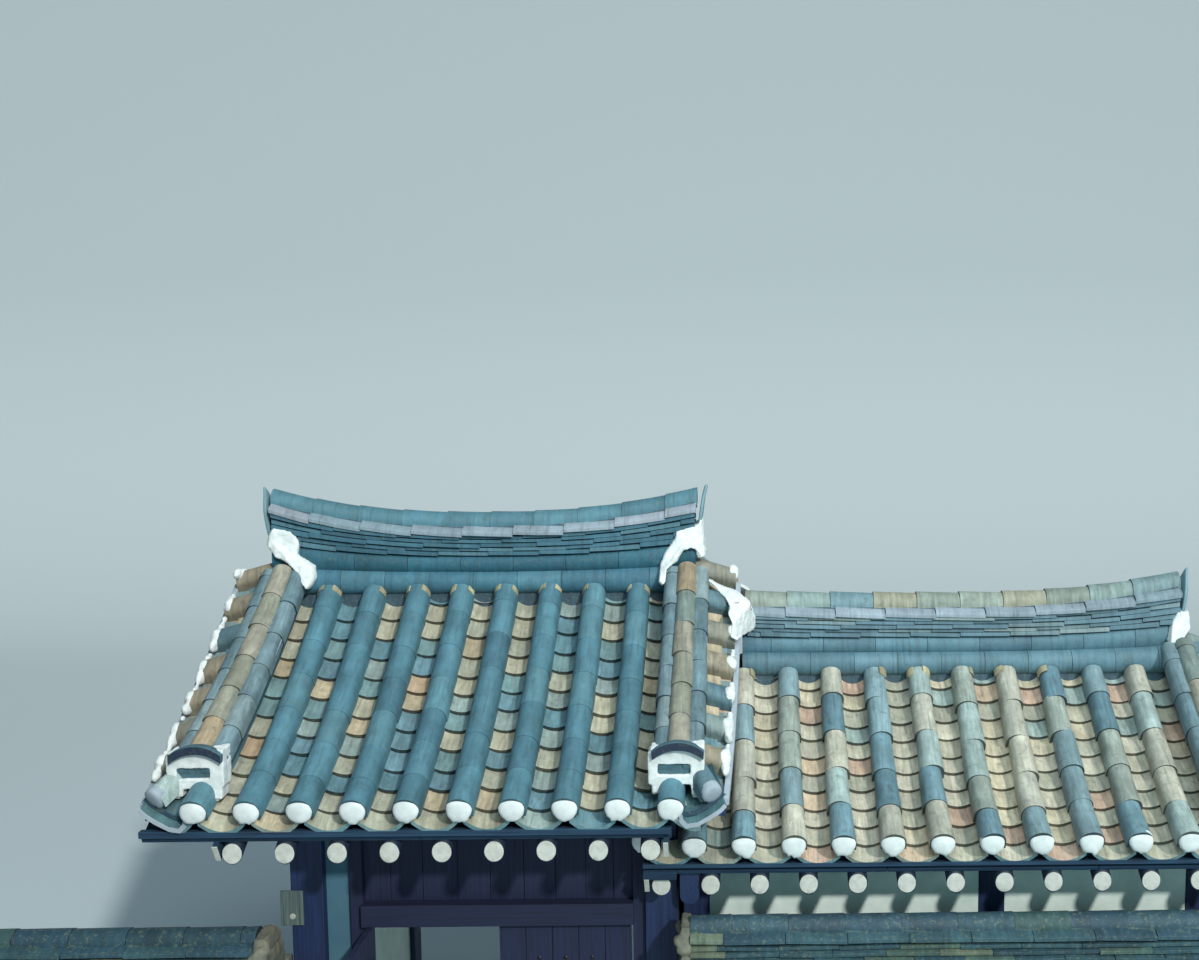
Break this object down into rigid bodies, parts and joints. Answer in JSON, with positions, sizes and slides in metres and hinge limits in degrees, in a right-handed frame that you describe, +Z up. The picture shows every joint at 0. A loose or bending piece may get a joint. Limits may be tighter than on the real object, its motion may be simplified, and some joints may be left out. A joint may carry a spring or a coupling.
{
  "type": "hanok gate house",
  "caption": "Korean tiled-roof timber gate house: a gabled gateway with swinging plank leaves, a lower wing beside it and tile-topped front walls.",
  "frame": {"origin": "middle of the whole footprint on the ground, with the left door leaf standing open as in the picture", "axes": "+X along the street front toward the wing, +Y away from the street toward the courtyard, +Z up"},
  "size_m": [8.0002, 3.7686, 4.5671],
  "materials": {
    "roof_tile": "matt fired clay",
    "dark_wood": "dark stained timber",
    "door_wood": "dark stained planks",
    "plaster": "lime plaster",
    "stone": "rough granite",
    "light_wood": "weathered pale wood"
  },
  "bodies": {
    "house": {"gate_tiles_front": "roof_tile", "gate_tiles_back": "roof_tile", "gate_side_ridge_left_front": "roof_tile", "gate_side_ridge_left_back": "roof_tile", "gate_side_ridge_right_front": "roof_tile", "gate_side_ridge_right_back": "roof_tile", "gate_side_tiles_left": "roof_tile", "gate_side_tiles_right": "roof_tile", "gate_ridge": "roof_tile", "wing_tiles_front": "roof_tile", "wing_tiles_back": "roof_tile", "wing_side_ridge_front": "roof_tile", "wing_side_ridge_back": "roof_tile", "wing_corner_tiles": "roof_tile", "wing_side_tiles": "roof_tile", "wing_ridge": "roof_tile", "right_wall_coping": "roof_tile", "left_wall_coping": "roof_tile", "gate_rafters_front": "dark_wood", "gate_rafters_back": "dark_wood", "gate_bargeboard_left": "dark_wood", "gate_bargeboard_right": "dark_wood", "gate_frame_front": "dark_wood", "gate_frame_back": "dark_wood", "gate_ridge_frame": "dark_wood", "gate_threshold": "dark_wood", "gate_door_frame": "dark_wood", "wing_rafters_front": "dark_wood", "wing_rafters_back": "dark_wood", "wing_bargeboard": "dark_wood", "wing_frame_front": "dark_wood", "wing_frame_back": "dark_wood", "wing_beam_head": "dark_wood", "wing_ridge_frame": "dark_wood", "gate_transom": "door_wood", "gate_gable_left": "plaster", "gate_gable_right": "plaster", "gate_side_wall_left": "plaster", "gate_side_wall_right": "plaster", "gate_front_panel": "plaster", "wing_front_wall_left": "plaster", "wing_front_wall_right": "plaster", "wing_side_wall": "plaster", "wing_gable": "plaster", "wing_back_wall_left": "plaster", "wing_back_wall_right": "plaster", "gate_footing_left": "stone", "gate_footing_right": "stone", "wing_plinth": "stone", "right_wall_end": "stone", "right_wall": "stone", "left_wall_end": "stone", "left_wall": "stone", "bell_plate": "light_wood", "wing_back_door": "light_wood"},
    "left_leaf": {"left_door_leaf": "door_wood"},
    "right_leaf": {"right_door_leaf": "door_wood"}
  },
  "joints": [
    {"name": "left_leaf_hinge", "type": "hinge", "parent": "house", "child": "left_leaf", "pos_m": [-1.72153, -1.08573, 0], "axis": [0, 0, 1], "range_deg": [-8, 90]},
    {"name": "right_leaf_hinge", "type": "hinge", "parent": "house", "child": "right_leaf", "pos_m": [-0.11847, -1.08573, 0], "axis": [0, 0, 1], "range_deg": [0, 95]}
  ]
}
